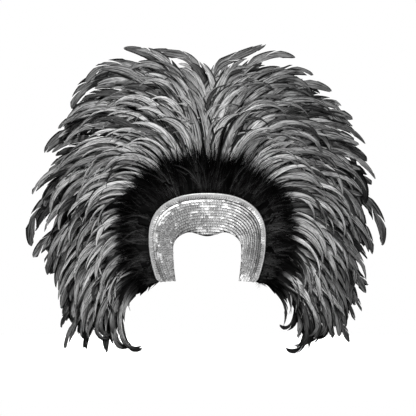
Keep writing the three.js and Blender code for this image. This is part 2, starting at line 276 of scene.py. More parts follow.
@dataclass
class Stray:
    """A single feather that stands out of the outline, by its root, its heading there and its tip."""

    side: int
    tier: int
    place: float
    start: float
    tip: tuple
    power: float
    width: float
    bent: float = 1.0
    curl: float = 0.0
    tone: float = 0.62


STRAY_FAN = 17
STRAYS = [
    Stray(-1, 5, 0.03, 92, (132, 432), 6, 27, bent=0.84, tone=0.35),
    Stray(-1, 4, 0.05, 87, (195, 436), 2.5, 24, tone=0.46),
    Stray(-1, 5, 0.1, 84, (256, 372), 2.4, 28),
    Stray(-1, 4, 0.12, 84, (285, 352), 2.6, 30),
    Stray(-1, 5, 0.13, 80, (316, 296), 2.4, 32),
    Stray(-1, 5, 0.3, 66, (380, 193), 1.8, 28),
    Stray(-1, 4, 0.45, 50, (384, 83), 1.6, 28),
    Stray(-1, 5, 0.54, 54, (412, -25), 1.35, 28),
    Stray(-1, 4, 0.8, 0, (341, -213), 1, 18),
    Stray(-1, 3, 0.86, -12, (332, -262), 1, 17),
    Stray(-1, 5, 0.92, -14, (288, -262), 1, 17),
    Stray(-1, 4, 0.965, 2, (150, -259), 0.85, 15, curl=80, tone=0.12),
    Stray(-1, 3, 0.955, 6, (186, -250), 0.85, 15, curl=100, tone=0.12),
    Stray(1, 5, 0.03, 91, (137, 446), 9, 22, bent=0.76, tone=0.5),
    Stray(1, 4, 0.05, 88, (204, 414), 2.8, 24),
    Stray(1, 5, 0.09, 84, (248, 375), 2.4, 24),
    Stray(1, 4, 0.15, 80, (290, 335), 2.2, 28),
    Stray(1, 5, 0.24, 70, (340, 272), 1.8, 28),
    Stray(1, 5, 0.34, 60, (372, 182), 1.6, 28),
    Stray(1, 4, 0.42, 54, (383, 120), 1.5, 28),
    Stray(1, 5, 0.54, 54, (410, -23), 1.35, 28),
    Stray(1, 4, 0.7, 8, (374, -115), 1, 16),
    Stray(1, 5, 0.8, 0, (345, -197), 1, 18),
    Stray(1, 4, 0.86, -10, (331, -248), 1, 17),
    Stray(1, 4, 0.93, 24, (167, -204), 0.8, 14, curl=110, tone=0.12),
    Stray(1, 3, 0.95, 10, (181, -257), 0.85, 15, curl=110, tone=0.12),
]

# Long feathers beside the parting, by tier: side, place, headings at root and tip, and length
PARTING = {
    0: [(1, 0.035, 91, 128, 236), (1, 0.075, 80, 30, 230), (-1, 0.05, 88, 60, 226)],
    1: [(1, 0.035, 92, 134, 270), (-1, 0.035, 90, 56, 262), (-1, 0.085, 80, 20, 250)],
    2: [(1, 0.032, 92, 142, 302), (-1, 0.06, 86, 40, 300), (1, 0.07, 84, 30, 290)],
    3: [(1, 0.032, 91, 150, 330), (-1, 0.045, 86, 40, 330)],
}
PARTING_POWER = 3.4
PARTING_WIDTH = 25
PARTING_BLUNT = 0.6
PARTING_FAN = -12
PARTING_TONE = 0.76

# Hooked feathers that close the lower ends: how many a side, their roots, and the span of their tips
HOOKS = 10
HOOK_LAST = 0.99
HOOK_PLACES = 0.09
HOOK_START = 8
HOOK_START_JITTER = 6
HOOK_WIDTH = 14
HOOK_WIDTH_JITTER = 3
HOOK_POWER = 0.85
HOOK_CURL = 60
HOOK_TIPS_X = {-1: (164, 240), 1: (204, 262)}
HOOK_TIPS_Z = (-252, -226)
HOOK_TIP_JITTER = 0.3
HOOK_TIP_DARK = 0.92
HOOK_BARE = {-1: 12, 1: -20}
HOOK_TONE = {-1: 0.6, 1: 0.85}

# Ruff of black down: wide locks, a deep coat of fine strands in tufts, greyer wisps over it and long
# spikes, with a light fringe at one end. The greyer wisps are partly painted sheen, lightest low on the
# right as a painted highlight. A ripple's rows hold depth, waves along the edge and shift.
RUFF_FAN = -112
RUFF_COUNT = 16
RUFF_PLACE = [0, 0.5, 0.9]
RUFF_LENGTH = [106, 84, 62]
RUFF_SIDE = {-1: 1.0, 1: 0.9}
RUFF_RAGGED = [(0.1, 41, 1), (0.08, 97, 2)]
RUFF_TONE_UPPER = 0.75
# Lower ruff tone, lighter on the right: a painted highlight on the wisps there
RUFF_TONE_LOWER = {-1: 1.0, 1: 1.6}
RUFF_WIDTH = 22
RUFF_BEND = 0.12
LOCK_SHARE = 0.66
LOCK_TONE = 0.2
RUFF_COATS = [
    dict(tufts=420, strands=9, width=1.0, length=(0.45, 1.2), tone=(0.1, 0.5), proud=(2, 30)),
    dict(tufts=150, strands=6, width=1.3, length=(0.5, 1.15), tone=(0.4, 2.1), proud=(-4, 12)),
    dict(tufts=60, strands=4, width=2.0, length=(1.0, 1.4), tone=(0.1, 0.5), proud=(4, 24)),
]
FRINGE = dict(
    tufts=22, strands=6, width=0.4, length=(0.3, 0.8), tone=(1.0, 2.0), proud=(0, 12),
    places=(0.93, 0.997), turn=-110,
)
FRINGED = "right_lower"

# Tufts, which turn and shorten towards the lower end, and the strands of each
TUFT_PLACES = {False: (0.004, 0.5), True: (0.5, 0.997)}
TUFT_LOW_FROM = 0.78
TUFT_LOW_FULL = 0.98
TUFT_HEADING_SPREAD = 14
TUFT_TURN = -20
TUFT_TURN_LOW = 26
TUFT_TURN_SPREAD = 26
TUFT_CALM_LOW = 0.6
TUFT_SHORT_LOW = 0.3
STRAND_STEPS = 6
STRAND_PLACE_SPREAD = 0.008
STRAND_INSETS = (3, 14)
STRAND_TONES = (0.6, 1.4)
STRAND_LENGTHS = (0.6, 1.1)
STRAND_HEADING_SPREAD = 6
STRAND_TURN_SPREAD = 14
STRAND_TURN_POWER = 1.4
STRAND_FAN_SPREAD = 5
STRAND_TAPER = 2.5
STRAND_TIP = 0.04
STRAND_TWIST = 0.4

# Padded face of the band
PAD_STATIONS = 161
PAD_ACROSS = 15
PAD_SOFT_END = 0.02
PAD_END_LEAST = 0.15

# Strung sequins on the band. In patches they lie the other way: place, distance inside the outer edge and
# the half sizes of each patch
SEQUIN_RADIUS = 3.0
SEQUIN_SIDES = 8
SEQUIN_RINGS = np.array([0.14, 0.6, 1.0])
SEQUIN_CUP = 0.4
SEQUIN_STEP = 2.7
SEQUIN_PROUD = 0.9
SEQUIN_INNER_CLEAR = 0.6
SEQUIN_INSET_SPREAD = 0.2
SEQUIN_LEAN = 5
SEQUIN_LEAN_SPREAD = 3
SEQUIN_TIP_SPREAD = 3
# Sequin tones: turned and tilted sequins are painted lighter, a painted reflection of the light they
# catch; the tone that alternates from sequin to sequin is painted glints
SEQUIN_TONE = 0.4
SEQUIN_TONE_SPREAD = 0.08
SEQUIN_TONE_TURN = 0.13
SEQUIN_WANDER = 5
WANDER_WAVES = [(21, 0.31, 4), (-13, 0.17, 8)]
NEAR_PLACE = 0.002
ROW_STEP = 6.2
ROW_FIRST = 4
ROW_END = 0.992
ROW_SAMPLES = 3000
TURNED_PATCHES = [
    (-0.42, 19, 0.2, 9),
    (-0.62, 19, 0.08, 8),
    (-0.74, 21, 0.06, 7),
    (-0.1, 19, 0.14, 5),
    (-0.01, 36, 0.07, 20),
    (0.17, 27, 0.04, 5),
    (-0.14, 42, 0.03, 8),
    (0.3, 20, 0.12, 8),
    (0.46, 42, 0.2, 32),
    (0.97, 30, 0.06, 20),
]
TURNED_FROM = 0.55
TURNED_DRIFT = [(0.2, 61, 5), (0.12, 149, 9)]
TURNED_ROWS = 0.12
TURNED_SPREAD = 0.15
TURNED_TONE = 0.84
PEAK_STRIP = dict(middle=0.04, half=0.17, least=6, most=19)
TILTED_ROWS = dict(middle=0.52, half=0.36, tilt=34, tone=0.36)
TILTED_POWER = 4

# Trim: a roll, a row of tightly overlapped sequins, ribbed in parts, and a silver cord at its edge
ROLL_STATIONS = 241
ROLL_ROUND = 9
ROLL_HEIGHT = 0.72
ROLL_POWER = 0.7
TRIM_DISC_RADIUS = 4.4
TRIM_DISC_CUP = 0.4
TRIM_DISC_STEP = 2.7
TRIM_DISC_INSET = 0.86
TRIM_DISC_HEIGHT = 0.5
TRIM_DISC_LEAN = 20
TRIM_DISC_SPREAD = 4
# Trim sequin tones: painted shade on the left, where the key lamp makes the trim bright, and painted
# light on the right; the tone that alternates from sequin to sequin is painted glints, and in the ribbed
# parts painted glints and shade of the ribs
TRIM_TONE = {-1: 0.48, 1: 0.78}
TRIM_TONE_TURN = 0.34
TRIM_TONE_SPREAD = 0.06
TRIM_SEGMENTS = 34
TRIM_SEGMENT_SPREAD = 0.16
RIBBED_PARTS = [(-0.13, 0.11), (0.3, 0.04), (0.8, 0.12), (-0.85, 0.1)]
RIBBED_TONE = 0.14
RIBBED_TONE_TURN = 0.6
CORD_RADIUS = 2.3
CORD_SIDES = 10
CORD_STATIONS = 481
CORD_LAYS = 3
CORD_WIND = 330
CORD_RIBS = 0.06

# First random seeds of the pieces
TIER_RANDOM = 100
TIER_RANDOM_STEP = 10
RUFF_RANDOM = 500
SEQUIN_RANDOM = 11
TRIM_RANDOM = 23

# The photograph's frame: its middle and its width on the plane of the feathers, seen from far off
FRAME_MIDDLE_X = 1.8
FRAME_MIDDLE_Z = 64.9
FRAME_WIDTH = 957
FRAME_PLANE_Y = 50
CAMERA_DISTANCE = 11000
SENSOR_WIDTH = 36

# Stage, with lengths in metres
CAMERA_SIGHT = 100
FLOOR_DROP = 0.012
FLOOR_RADIUS = 2.2
FLOOR_SIDES = 96
ROOM_FROM = -0.5
ROOM_GREYS = [(0.0, 0.12), (1.0, 0.9)]
ROOM_STRENGTH = 0.12
WHITE = (1, 1, 1, 1)


@dataclass
class Layer:
    """One layer of down or feathers: its strip's depth and how far its tips stand back."""

    depth: float
    fan: float


@dataclass
class Plan:
    """How one feather or lock lies: its root on the outer edge, headings in degrees, sizes and tone."""

    side: int
    place: float
    start: float
    end: float
    length: float
    width: float
    power: float = 1.0
    bent: float = 1.0
    curl: float = 0.0
    fan: float = 0.0
    tone: float = 1.0
    bare: float = 0.0
    blunt: float = 1.0
    dark_tip: float = 0.3


def jitter(seed):
    """Repeatable noise from -1 to 1."""
    value = math.sin(seed * NOISE_RATE + NOISE_SHIFT) * NOISE_SCALE
    return 2 * (value - math.floor(value)) - 1


def smoothstep(value, low, high):
    share = np.clip((value - low) / (high - low), 0, 1)
    return share * share * (3 - 2 * share)


def ripple(rows, place, step):
    """Sum of waves along the band, each shifted by a step."""
    return sum(depth * np.sin(waves * place + shift * step) for depth, waves, shift in rows)


def columns(*values):
    return np.stack(np.broadcast_arrays(*values), axis=-1)


def unit(vectors):
    return vectors / np.linalg.norm(vectors, axis=-1, keepdims=True)


class Edge:
    """Right half of an edge of the band, by place."""

    def __init__(self, half_width, top, widest_z, end_z, tuck, peak=0, peak_half=1):
        turn = np.linspace(0, math.pi / 2, EDGE_STEPS)
        x = half_width * np.sin(turn) ** (2 / EDGE_POWER)
        arch = widest_z + (top - widest_z) * np.cos(turn) ** (2 / EDGE_POWER)
        dip = np.where(x < peak_half, peak * np.cos(math.pi / 2 * x / peak_half) ** 2, 0)
        share = np.linspace(0, 1, EDGE_STEPS)[1:]
        leg = columns(half_width - tuck * share**2, widest_z + (end_z - widest_z) * share)
        line = np.vstack([columns(x, arch - dip), leg])
        run = np.r_[0, np.cumsum(np.hypot(*np.diff(line, axis=0).T))]
        self.length = run[-1]
        self.places = np.linspace(0, 1, EDGE_STEPS)
        self.line = columns(*(np.interp(self.places * self.length, run, line[:, i]) for i in (0, 1)))
        self.tangents = unit(np.gradient(self.line, axis=0))

    def at(self, place):
        return columns(*(np.interp(place, self.places, self.line[:, i]) for i in (0, 1)))

    def outward(self, place):
        along = columns(*(np.interp(place, self.places, self.tangents[:, i]) for i in (0, 1)))
        return columns(-along[..., 1], along[..., 0])

    def inside(self, place, inset):
        return self.at(place) - np.asarray(inset)[..., None] * self.outward(place)


outer_edge = Edge(**OUTER_EDGE)
inner_edge = Edge(**INNER_EDGE)
edge_places = np.linspace(0, 1, EDGE_SAMPLES)
edge_points = outer_edge.at(edge_places)
edge_outward = outer_edge.outward(edge_places)


def beyond_edge(x, z):
    """Distance beyond the band's outer edge; 0 on the band."""
    apart = columns(np.abs(x), z)[:, None, :] - edge_points[None, :, :]
    gaps = np.hypot(apart[..., 0], apart[..., 1])
    nearest = gaps.argmin(axis=1)
    rows = np.arange(len(nearest))
    is_outside = (apart[rows, nearest] * edge_outward[nearest]).sum(axis=1) > 0
    return np.where(is_outside, gaps[rows, nearest], 0)


def wrap(x):
    return WRAP_RISE * (np.hypot(1, x / WRAP_HALF) - 1)


def layer_depth(x, z, layer, side, place, fan):
    """Depth of a layer at places seen from the front: layers with a larger fan lie further back."""
    beyond = beyond_edge(x, z)
    share = np.minimum(beyond / REACH, REACH_MOST)
    spread = (layer.fan + fan) * share**FAN_POWER
    bulge = BULGE * np.sin(math.pi * np.minimum(share, 1)) ** 2
    tuck = np.where(side < 0, LEFT_TUCK, 0) + np.where(place > MIDDLE_SEAM, LOWER_TUCK, 0)
    drape = (DRAPE * place + tuck) * smoothstep(beyond, DRAPE_FROM, DRAPE_FULL)
    return wrap(x) + layer.depth + spread - bulge + drape


def strip_depth(index):
    """Depth of a strip's middle in the stack, counted from the band."""
    return STRIP_FRONT + STRIP_THICK / 2 + index * (STRIP_THICK + GAP)


# Meshes gathered from many small forms


class Gathered:
    """Points, faces and point fields of many small forms, joined into one mesh."""

    def __init__(self):
        self.points = []
        self.faces = {3: [], 4: []}
        self.fields = {}
        self.count = 0

    def add(self, points, *faces, **fields):
        points = np.asarray(points).reshape(-1, 3)
        for corners in faces:
            self.faces[corners.shape[-1]].append(corners.reshape(-1, corners.shape[-1]) + self.count)
        for name, values in fields.items():
            spread = np.broadcast_to(np.asarray(values, dtype=np.float32).reshape(-1), len(points))
            self.fields.setdefault(name, []).append(spread)
        self.points.append(points)
        self.count += len(points)

    def build(self, name, finish):
        mesh = bpy.data.meshes.new(name)
        faces = [corners for kind in self.faces.values() for rows in kind for corners in rows.tolist()]
        mesh.from_pydata((np.vstack(self.points) * MM).tolist(), [], faces)
        for field, values in self.fields.items():
            attribute = mesh.attributes.new(field, "FLOAT", "POINT")
            attribute.data.foreach_set("value", np.concatenate(values))
        mesh.shade_smooth()
        mesh.materials.append(finish)
        piece = bpy.data.objects.new(name, mesh)
        bpy.context.scene.collection.objects.link(piece)
        return piece


def grid_faces(rows, row_length, closed):
    """Quads between rows of points; closed joins each row's last point to its first."""
    near = np.arange(row_length if closed else row_length - 1)
    next_one = (near + 1) % row_length
    start = np.arange(rows - 1)[:, None] * row_length
    above = start + row_length
    return columns(start + near, start + next_one, above + next_one, above + near)


def add_loft(gathered, rings, **fields):
    """Closed form through rings with the same number of points."""
    rings = np.asarray(rings)
    rows, row_length = rings.shape[:2]
    gathered.add(rings, grid_faces(rows, row_length, closed=True), **fields)
    first = gathered.count - rows * row_length
    for start in (first, gathered.count - row_length):
        ring = start + np.arange(row_length)
        fan = columns(ring[0], ring[1:-1], ring[2:])
        gathered.faces[3].append(fan if start != first else fan[:, ::-1])


# Lie of the feathers


def heading(plan, t):
    hook = plan.curl * np.maximum(0, (t - CURL_FROM) / (1 - CURL_FROM)) ** CURL_POWER
    bend = np.minimum(1, t / plan.bent) ** plan.power
    return np.radians(plan.start + (plan.end - plan.start) * bend - hook)


def unit_steps(plan):
    angle = heading(plan, (np.arange(PATH_STEPS) + 0.5) / PATH_STEPS)
    return columns(np.cos(angle), np.sin(angle)) / PATH_STEPS


def spine(plan):
    """Line of a feather's shaft seen from the front, on the right half."""
    root = outer_edge.inside(plan.place, ROOT_INSET)
    return np.vstack([root, root + np.cumsum(unit_steps(plan) * plan.length, axis=0)])


def feather_points(plan, layer, line, t, across, lift):
    """Points in space at shares t along a feather and distances across it, lifted to the back."""
    t = np.clip(t, 0, 1)
    shares = np.linspace(0, 1, len(line))
    angle = heading(plan, t)
    x = plan.side * (np.interp(t, shares, line[:, 0]) - np.sin(angle) * across)
    z = np.interp(t, shares, line[:, 1]) + np.cos(angle) * across
    return columns(x, layer_depth(x, z, layer, plan.side, plan.place, plan.fan) + lift, z)


def reach_tip(plan, tip):
    """The plan with the heading at its end and the length that bring its tip to its place."""
    way = np.array(tip) - outer_edge.inside(plan.place, ROOT_INSET)
    low, high = LOWEST_END, plan.start
    for _ in range(BEND_TRIES):
        end = (low + high) / 2
        chord = unit_steps(replace(plan, end=end)).sum(axis=0)
        is_too_high = chord[0] * way[1] - chord[1] * way[0] < 0
        low, high = (low, end) if is_too_high else (end, high)
    chord = unit_steps(replace(plan, end=low)).sum(axis=0)
    return replace(plan, end=low, length=np.linalg.norm(way) / np.linalg.norm(chord))


def clear_of_seams(place):
    """The place, moved off the seam between two quarters and off the ends of the edge."""
    if place < MIDDLE_SEAM:
        return max(min(place, MIDDLE_SEAM - SEAM_CLEAR), FIRST_PLACE)
    return min(max(place, MIDDLE_SEAM + SEAM_CLEAR), FURTHEST_PLACE)


def lie_at(place, *rows):
    """Values of the rows of a lie at a place."""
    return [np.interp(place, FLOW_PLACE, row) for row in rows]


def bare_length(place, seed):
    """How much further than most a feather stays black beyond its base; a few stay so for a long way,
    partly as painted shade in the gaps between feathers near the ruff.
    """
    least = np.interp(place, BARE_PLACE, BARE_LEAST)
    return least + BARE_SPREAD * ((1 + jitter(seed + 0.8)) / 2) ** BARE_POWER


def tip_darkness(side, place, seed):
    """How much darker a feather is at its tip, partly as painted shade and more so on the right, the side
    away from the key lamp; low on the left the tips are lighter instead, as painted light where the
    feathers above shade them.
    """
    lighter = LOW_TIP_LIGHT[side] * smoothstep(place, LOW_TIP_FROM, LOW_TIP_FULL)
    return TIP_DARK[side] + TIP_DARK_SPREAD * jitter(seed + 0.6) - lighter


def end_dim(side, place):
    """Share of their lightness that feathers keep towards the inner ends of the fan."""
    return 1 - END_DIM[side] * smoothstep(place, END_DIM_FROM, END_DIM_FULL)


def feather_tone(tone, seed):
    """Lightness of a feather: some in each tier are nearly black, partly as painted shade in the gaps
    between the lighter ones.
    """
    is_dark = jitter(seed + 0.3) < 2 * DARK_SHARE - 1
    return (DARK_TONE if is_dark else tone) * (1 + TONE_SPREAD * jitter(seed + 0.5))


def flow_plan(side, step, tier, seed):
    """A feather of a tier at a step along the edge, drawn from the flow with a little noise."""
    place = clear_of_seams((step + PLACE_JITTER * jitter(seed + 1)) / tier["count"])
    place = min(place, LAST_PLACE[side])
    start, end, length, power = lie_at(place, FLOW_START, FLOW_END, FLOW_LENGTH, FLOW_POWER)
    return Plan(
        side=side,
        place=place,
        start=min(START_MOST, start + START_JITTER * jitter(seed + 2)),
        end=end + END_JITTER * jitter(seed + 3),
        length=length * tier["share"] * (1 + LENGTH_JITTER * jitter(seed + 4)),
        width=FEATHER_WIDTH * (1 + WIDTH_JITTER * jitter(seed + 5)),
        power=power,
        fan=FAN_SPREAD * jitter(seed + 6),
        tone=end_dim(side, place) * feather_tone(tier["tone"], seed),
        bare=bare_length(place, seed),
        blunt=tier["blunt"],
        dark_tip=tip_darkness(side, place, seed),
    )


def main_plan(side, i, tier, seed):
    """A main feather of a tier, which lies in front of the others and shows its light vane early."""
    plan = flow_plan(side, i + MAIN_STEP + STAGGER_STEP * tier["stagger"], tier, seed)
    return replace(
        plan,
        fan=plan.fan - MAIN_FORWARD,
        blunt=max(MAIN_BLUNT, plan.blunt),
        bare=min(np.interp(plan.place, BARE_PLACE, MAIN_BARE), plan.bare),
        tone=max(MAIN_TONE * end_dim(side, plan.place), plan.tone),
    )


def fill_plan(side, i, tier, seed):
    """A slimmer feather between the main ones, with a wilder lie."""
    step = tier["count"] * ((i + 0.5) / tier["fill"]) ** FILL_PLACE_POWER
    plan = flow_plan(side, step, tier, seed)
    start, end, length, power = lie_at(plan.place, FILL_START, FILL_END, FILL_LENGTH, FILL_POWER)
    return replace(
        plan,
        start=min(FILL_START_MOST, plan.start + start + FILL_START_JITTER * jitter(seed + 0.1)),
        end=plan.end + end + FILL_END_JITTER * jitter(seed + 0.2),
        length=plan.length * length,
        power=plan.power * power,
        fan=plan.fan + FILL_FAN * jitter(seed + 0.4),
        width=plan.width * tier["slim"],
    )


def outline_plan(side, i, tier, seed):
    """A feather whose tip ends near the fan's outline."""
    share = np.clip((i + 0.5 + OUTLINE_STEP_JITTER * jitter(seed + 1)) / tier["outline"], 0, 1)
    corners = np.arange(len(OUTLINE_PLACE))
    rows = (OUTLINE_PLACE, OUTLINE_X[side], OUTLINE_Z[side])
    place, x, z = (np.interp(share * corners[-1], corners, row) for row in rows)
    place = clear_of_seams(place + OUTLINE_PLACE_JITTER * jitter(seed + 2))
    start, power = lie_at(place, FLOW_START, FLOW_POWER)
    plan = Plan(
        side=side,
        place=place,
        start=start + OUTLINE_START_JITTER * jitter(seed + 3),
        end=0,
        length=0,
        width=FEATHER_WIDTH * OUTLINE_WIDTH * (1 + WIDTH_JITTER * jitter(seed + 4)),
        power=power * OUTLINE_LATE,
        fan=FILL_FAN * jitter(seed + 5),
        tone=feather_tone(tier["tone"], seed),
        bare=bare_length(place, seed),
        blunt=tier["blunt"],
        dark_tip=tip_darkness(side, place, seed),
    )
    tip = np.array([x, z])
    inward = unit(outer_edge.inside(place, ROOT_INSET) - tip)
    short = tier["short"] + OUTLINE_SHORT + OUTLINE_SHORT_JITTER * jitter(seed + 7)
    return reach_tip(plan, tip + inward * short)


def hook_tip(span, share, seed):
    low, high = span
    return low + (high - low) * (share + HOOK_TIP_JITTER * jitter(seed))


def hook_plan(side, i, tier, seed):
    """A slim feather at the lower end of the fan, with a hooked tip."""
    share = (i + 0.5) / HOOKS
    plan = Plan(
        side=side,
        place=HOOK_LAST - HOOK_PLACES * share,
        start=HOOK_START + HOOK_START_JITTER * jitter(seed + 1),
        end=0,
        length=0,
        width=HOOK_WIDTH + HOOK_WIDTH_JITTER * jitter(seed + 2),
        power=HOOK_POWER,
        curl=HOOK_CURL * (1 + jitter(seed + 3)),
        fan=FILL_FAN * jitter(seed + 4),
        tone=feather_tone(HOOK_TONE[side] * tier["tone"], seed),
        bare=HOOK_BARE[side],
        dark_tip=HOOK_TIP_DARK,
    )
    tip = hook_tip(HOOK_TIPS_X[side], share, seed + 5), hook_tip(HOOK_TIPS_Z, share, seed + 6)
    return reach_tip(plan, tip)


def parting_plan(lie, tier):
    """A long feather beside the parting."""
    tone = PARTING_TONE * tier["tone"]
    return Plan(*lie, PARTING_WIDTH, PARTING_POWER, fan=PARTING_FAN, tone=tone, blunt=PARTING_BLUNT)


def stray_plan(stray):
    """A single feather that stands out of the outline."""
    plan = Plan(
        side=stray.side,
        place=stray.place,
        start=stray.start,
        end=0,
        length=0,
        width=stray.width,
        power=stray.power,
        bent=stray.bent,
        curl=stray.curl,
        fan=STRAY_FAN,
        tone=stray.tone,
    )
    return reach_tip(plan, stray.tip)


def tier_plans(tier, index):
    """Plans of all the feathers of a tier."""
    plans = []
    for side in (-1, 1):
        is_right = (side + 1) // 2
        kind = is_right + 2 * index
        for i in range(tier["count"]):
            plans.append(main_plan(side, i, tier, FLOW_SEED_STEP * (1 + i + tier["count"] * kind)))
        for i in range(tier["fill"]):
            seed = FILL_SEED + FLOW_SEED_STEP * (i + SEEDS_A_SIDE * kind)
            plans.append(fill_plan(side, i, tier, seed))
        for i in range(tier["outline"]):
            seed = OUTLINE_SEED + TIP_SEED_STEP * (i + SEEDS_A_SIDE * kind)
            plans.append(outline_plan(side, i, tier, seed))
        for i in range(index, HOOKS, len(TIERS)):
            plans.append(hook_plan(side, i, tier, HOOK_SEED + TIP_SEED_STEP * (i + HOOKS * is_right)))
    plans += [parting_plan(lie, tier) for lie in PARTING.get(index, [])]
    plans += [stray_plan(stray) for stray in STRAYS if stray.tier == index]
    return plans


# Feathers


def half_width(plan, t):
    """Half the width along a feather."""
    grown = QUILL_SHARE + (1 - QUILL_SHARE) * (t - QUILL_TO) / VANE_GROWS
    taper_from = POINTED_FROM + (ROUNDED_FROM - POINTED_FROM) * plan.blunt
    late = np.clip((t - taper_from) / (1 - taper_from), 0, 1)
    power = POINTED_POWER + (ROUNDED_POWER - POINTED_POWER) * plan.blunt
    tip = (1 - late**power) ** (1 - (1 - ROUNDED_ROOT) * plan.blunt)
    return plan.width / 2 * np.clip(grown, QUILL_SHARE, 1) * tip


def tone_along(plan, t):
    return plan.tone * (1 - plan.dark_tip * smoothstep(t, TIP_FROM, 1))


def in_groups(random, count):
    """Index of the group that each of count barbs belongs to; barbs of a group hold together."""
    sizes = random.integers(GROUP_LEAST, GROUP_MOST + 1, size=count)
    return np.repeat(np.arange(count), sizes)[:count]


def group_noise(random, group, spread):
    """Noise that is the same for all barbs of a group."""
    return spread * random.normal(size=len(group))[group][:, None, None]


def slit_shifts(group):
    """How the two sides of each barb move at the margin: apart from the next group, or not at all."""
    starts = np.diff(group, prepend=-1) > 0
    ends = np.diff(group, append=len(group)) > 0
    return np.where(columns(starts, ends)[:, None, :], np.array([1, -1]) * SLIT, 0)


def add_vanes(gathered, plan, layer, line, random):
    """Both vanes of a feather: barbs sweep forward from the shaft, and slits part some groups of them."""
    count = max(BARBS_LEAST, int(plan.length * (VANE_TO - VANE_FROM) / BARB_STEP))
    ends = np.linspace(VANE_FROM, VANE_TO, count + 1)
    base = columns(ends[:-1], ends[1:])[:, None, :]
    roll_root, roll_tip = np.radians([ROLL_ROOT, ROLL_TIP]) * random.uniform(-1, 1, size=2)
    loose = 1 - smoothstep(base * plan.length, LOOSE_SHARE * DOWN_REACH, DOWN_REACH)
    for hand in (-1, 1):
        add_vane(gathered, plan, layer, line, random, hand, base, loose, (roll_root, roll_tip))


def add_vane(gathered, plan, layer, line, random, hand, base, loose, rolls):
    """One vane of a feather, by its barbs' bases along the shaft, how loose they are and how it rolls."""
    count = len(base)
    stations = BARB_STATIONS[None, :, None]
    group = in_groups(random, count)
    noise = group_noise(random, group, LEAD_SPREAD) + loose * group_noise(random, group, LOOSE_LEAD)
    lead = (BARB_LEAN * half_width(plan, base) + BARB_LEAD) * (1 + noise)
    margin = np.minimum(base + lead / plan.length, 1)
    wide = half_width(plan, margin) * (1 + group_noise(random, group, WIDE_SPREAD))
    wide = wide + loose * np.abs(group_noise(random, group, LOOSE_WIDE))
    slit = slit_shifts(group) * (1 + loose) / plan.length
    t = base + (margin - base) * stations**SWEEP_POWER + slit * stations**2
    out = hand * wide * stations**OUT_POWER
    roll = rolls[0] + (rolls[1] - rolls[0]) * t
    raised = group_noise(random, group, RAISED_SPREAD)
    raised = raised + loose * group_noise(random, group, LOOSE_RAISED)
    roof = ROOF * (2 * np.abs(out) / plan.width) ** ROOF_POWER
    lift = roof + out * np.sin(roll) + raised * stations**2
    points = feather_points(plan, layer, line, t.ravel(), (out * np.cos(roll)).ravel(), lift.ravel())
    first = t[0].size * np.arange(count)[:, None]
    cell = np.array([0, 1, 3, 2])
    quads = np.vstack([first + 2 * k + cell for k in range(len(BARB_STATIONS) - 1)])
    group_tone = np.clip(1 + group_noise(random, group, GROUP_TONE_SPREAD), *GROUP_TONE_RANGE)
    vane = VANE_NUMBERS * random.uniform()
    gathered.add(
        points,
        quads,
        reach=(t * plan.length - plan.bare) * MM,
        across=np.abs(out) / np.maximum(half_width(plan, t), 1),
        strand=base * count + vane + 0 * t,
        vane=vane,
        tone=tone_along(plan, t) * group_tone,
    )


def add_shaft(gathered, plan, layer, line):
    """Shaft of a feather: a slim three-sided spine that stands proud at the front."""
    t = np.linspace(0, VANE_TO, SHAFT_STATIONS)[:, None] + 0 * SHAFT_ACROSS
    radius = SHAFT_ROOT + (SHAFT_TIP - SHAFT_ROOT) * t
    across = radius * SHAFT_ACROSS
    lift = radius * SHAFT_LIFT
    points = feather_points(plan, layer, line, t.ravel(), across.ravel(), lift.ravel())
    add_loft(
        gathered,
        points.reshape(SHAFT_STATIONS, 3, 3),
        reach=(t * plan.length - plan.bare) * MM,
        across=0,
        strand=0,
        vane=0,
        tone=SHAFT_TONE * tone_along(plan, t),
    )


def add_feather(gathered, plan, layer, random):
    line = spine(plan)
    add_vanes(gathered, plan, layer, line, random)
    add_shaft(gathered, plan, layer, line)


def own_plans(plans, side, lower):
    return [plan for plan in plans if plan.side == side and (plan.place >= MIDDLE_SEAM) == lower]


def make_tier(tier, index, finish):
    layer = Layer(strip_depth(index + 1), tier["fan"])
    plans = tier_plans(tier, index)
    for number, (name, (side, lower)) in enumerate(QUARTERS.items()):
        random = np.random.default_rng(TIER_RANDOM + TIER_RANDOM_STEP * index + number)
        gathered = Gathered()
        for plan in own_plans(plans, side, lower):
            add_feather(gathered, plan, layer, random)
        node = f"feather_tier_{index + 1}_{name}"
        piece = gathered.build(f"plumes_{index + 1}_{name}", finish)
        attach(piece, "root")
        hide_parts(node)


# Ruff of down


def ruff_length(side, place):
    return np.interp(place, RUFF_PLACE, RUFF_LENGTH) * RUFF_SIDE[side]


def lock_plans(side, lower):
    """The wide locks that give the ruff its body."""
    plans = []
    for i in range(RUFF_COUNT // 2):
        place = clear_of_seams((i + 0.5) / RUFF_COUNT + (MIDDLE_SEAM if lower else 0))
        start, flow_end = lie_at(place, FLOW_START, FLOW_END)
        end = start + RUFF_BEND * (flow_end - start)
        length = LOCK_SHARE * ruff_length(side, place)
        plans.append(Plan(side, place, start, end, length, RUFF_WIDTH, tone=LOCK_TONE))
    return plans


@dataclass
class Strands:
    """Strands of down, one value or root a strand: headings and turns in degrees."""

    place: np.ndarray
    root: np.ndarray
    start: np.ndarray
    turn: np.ndarray
    length: np.ndarray
    tone: np.ndarray
    fan: np.ndarray


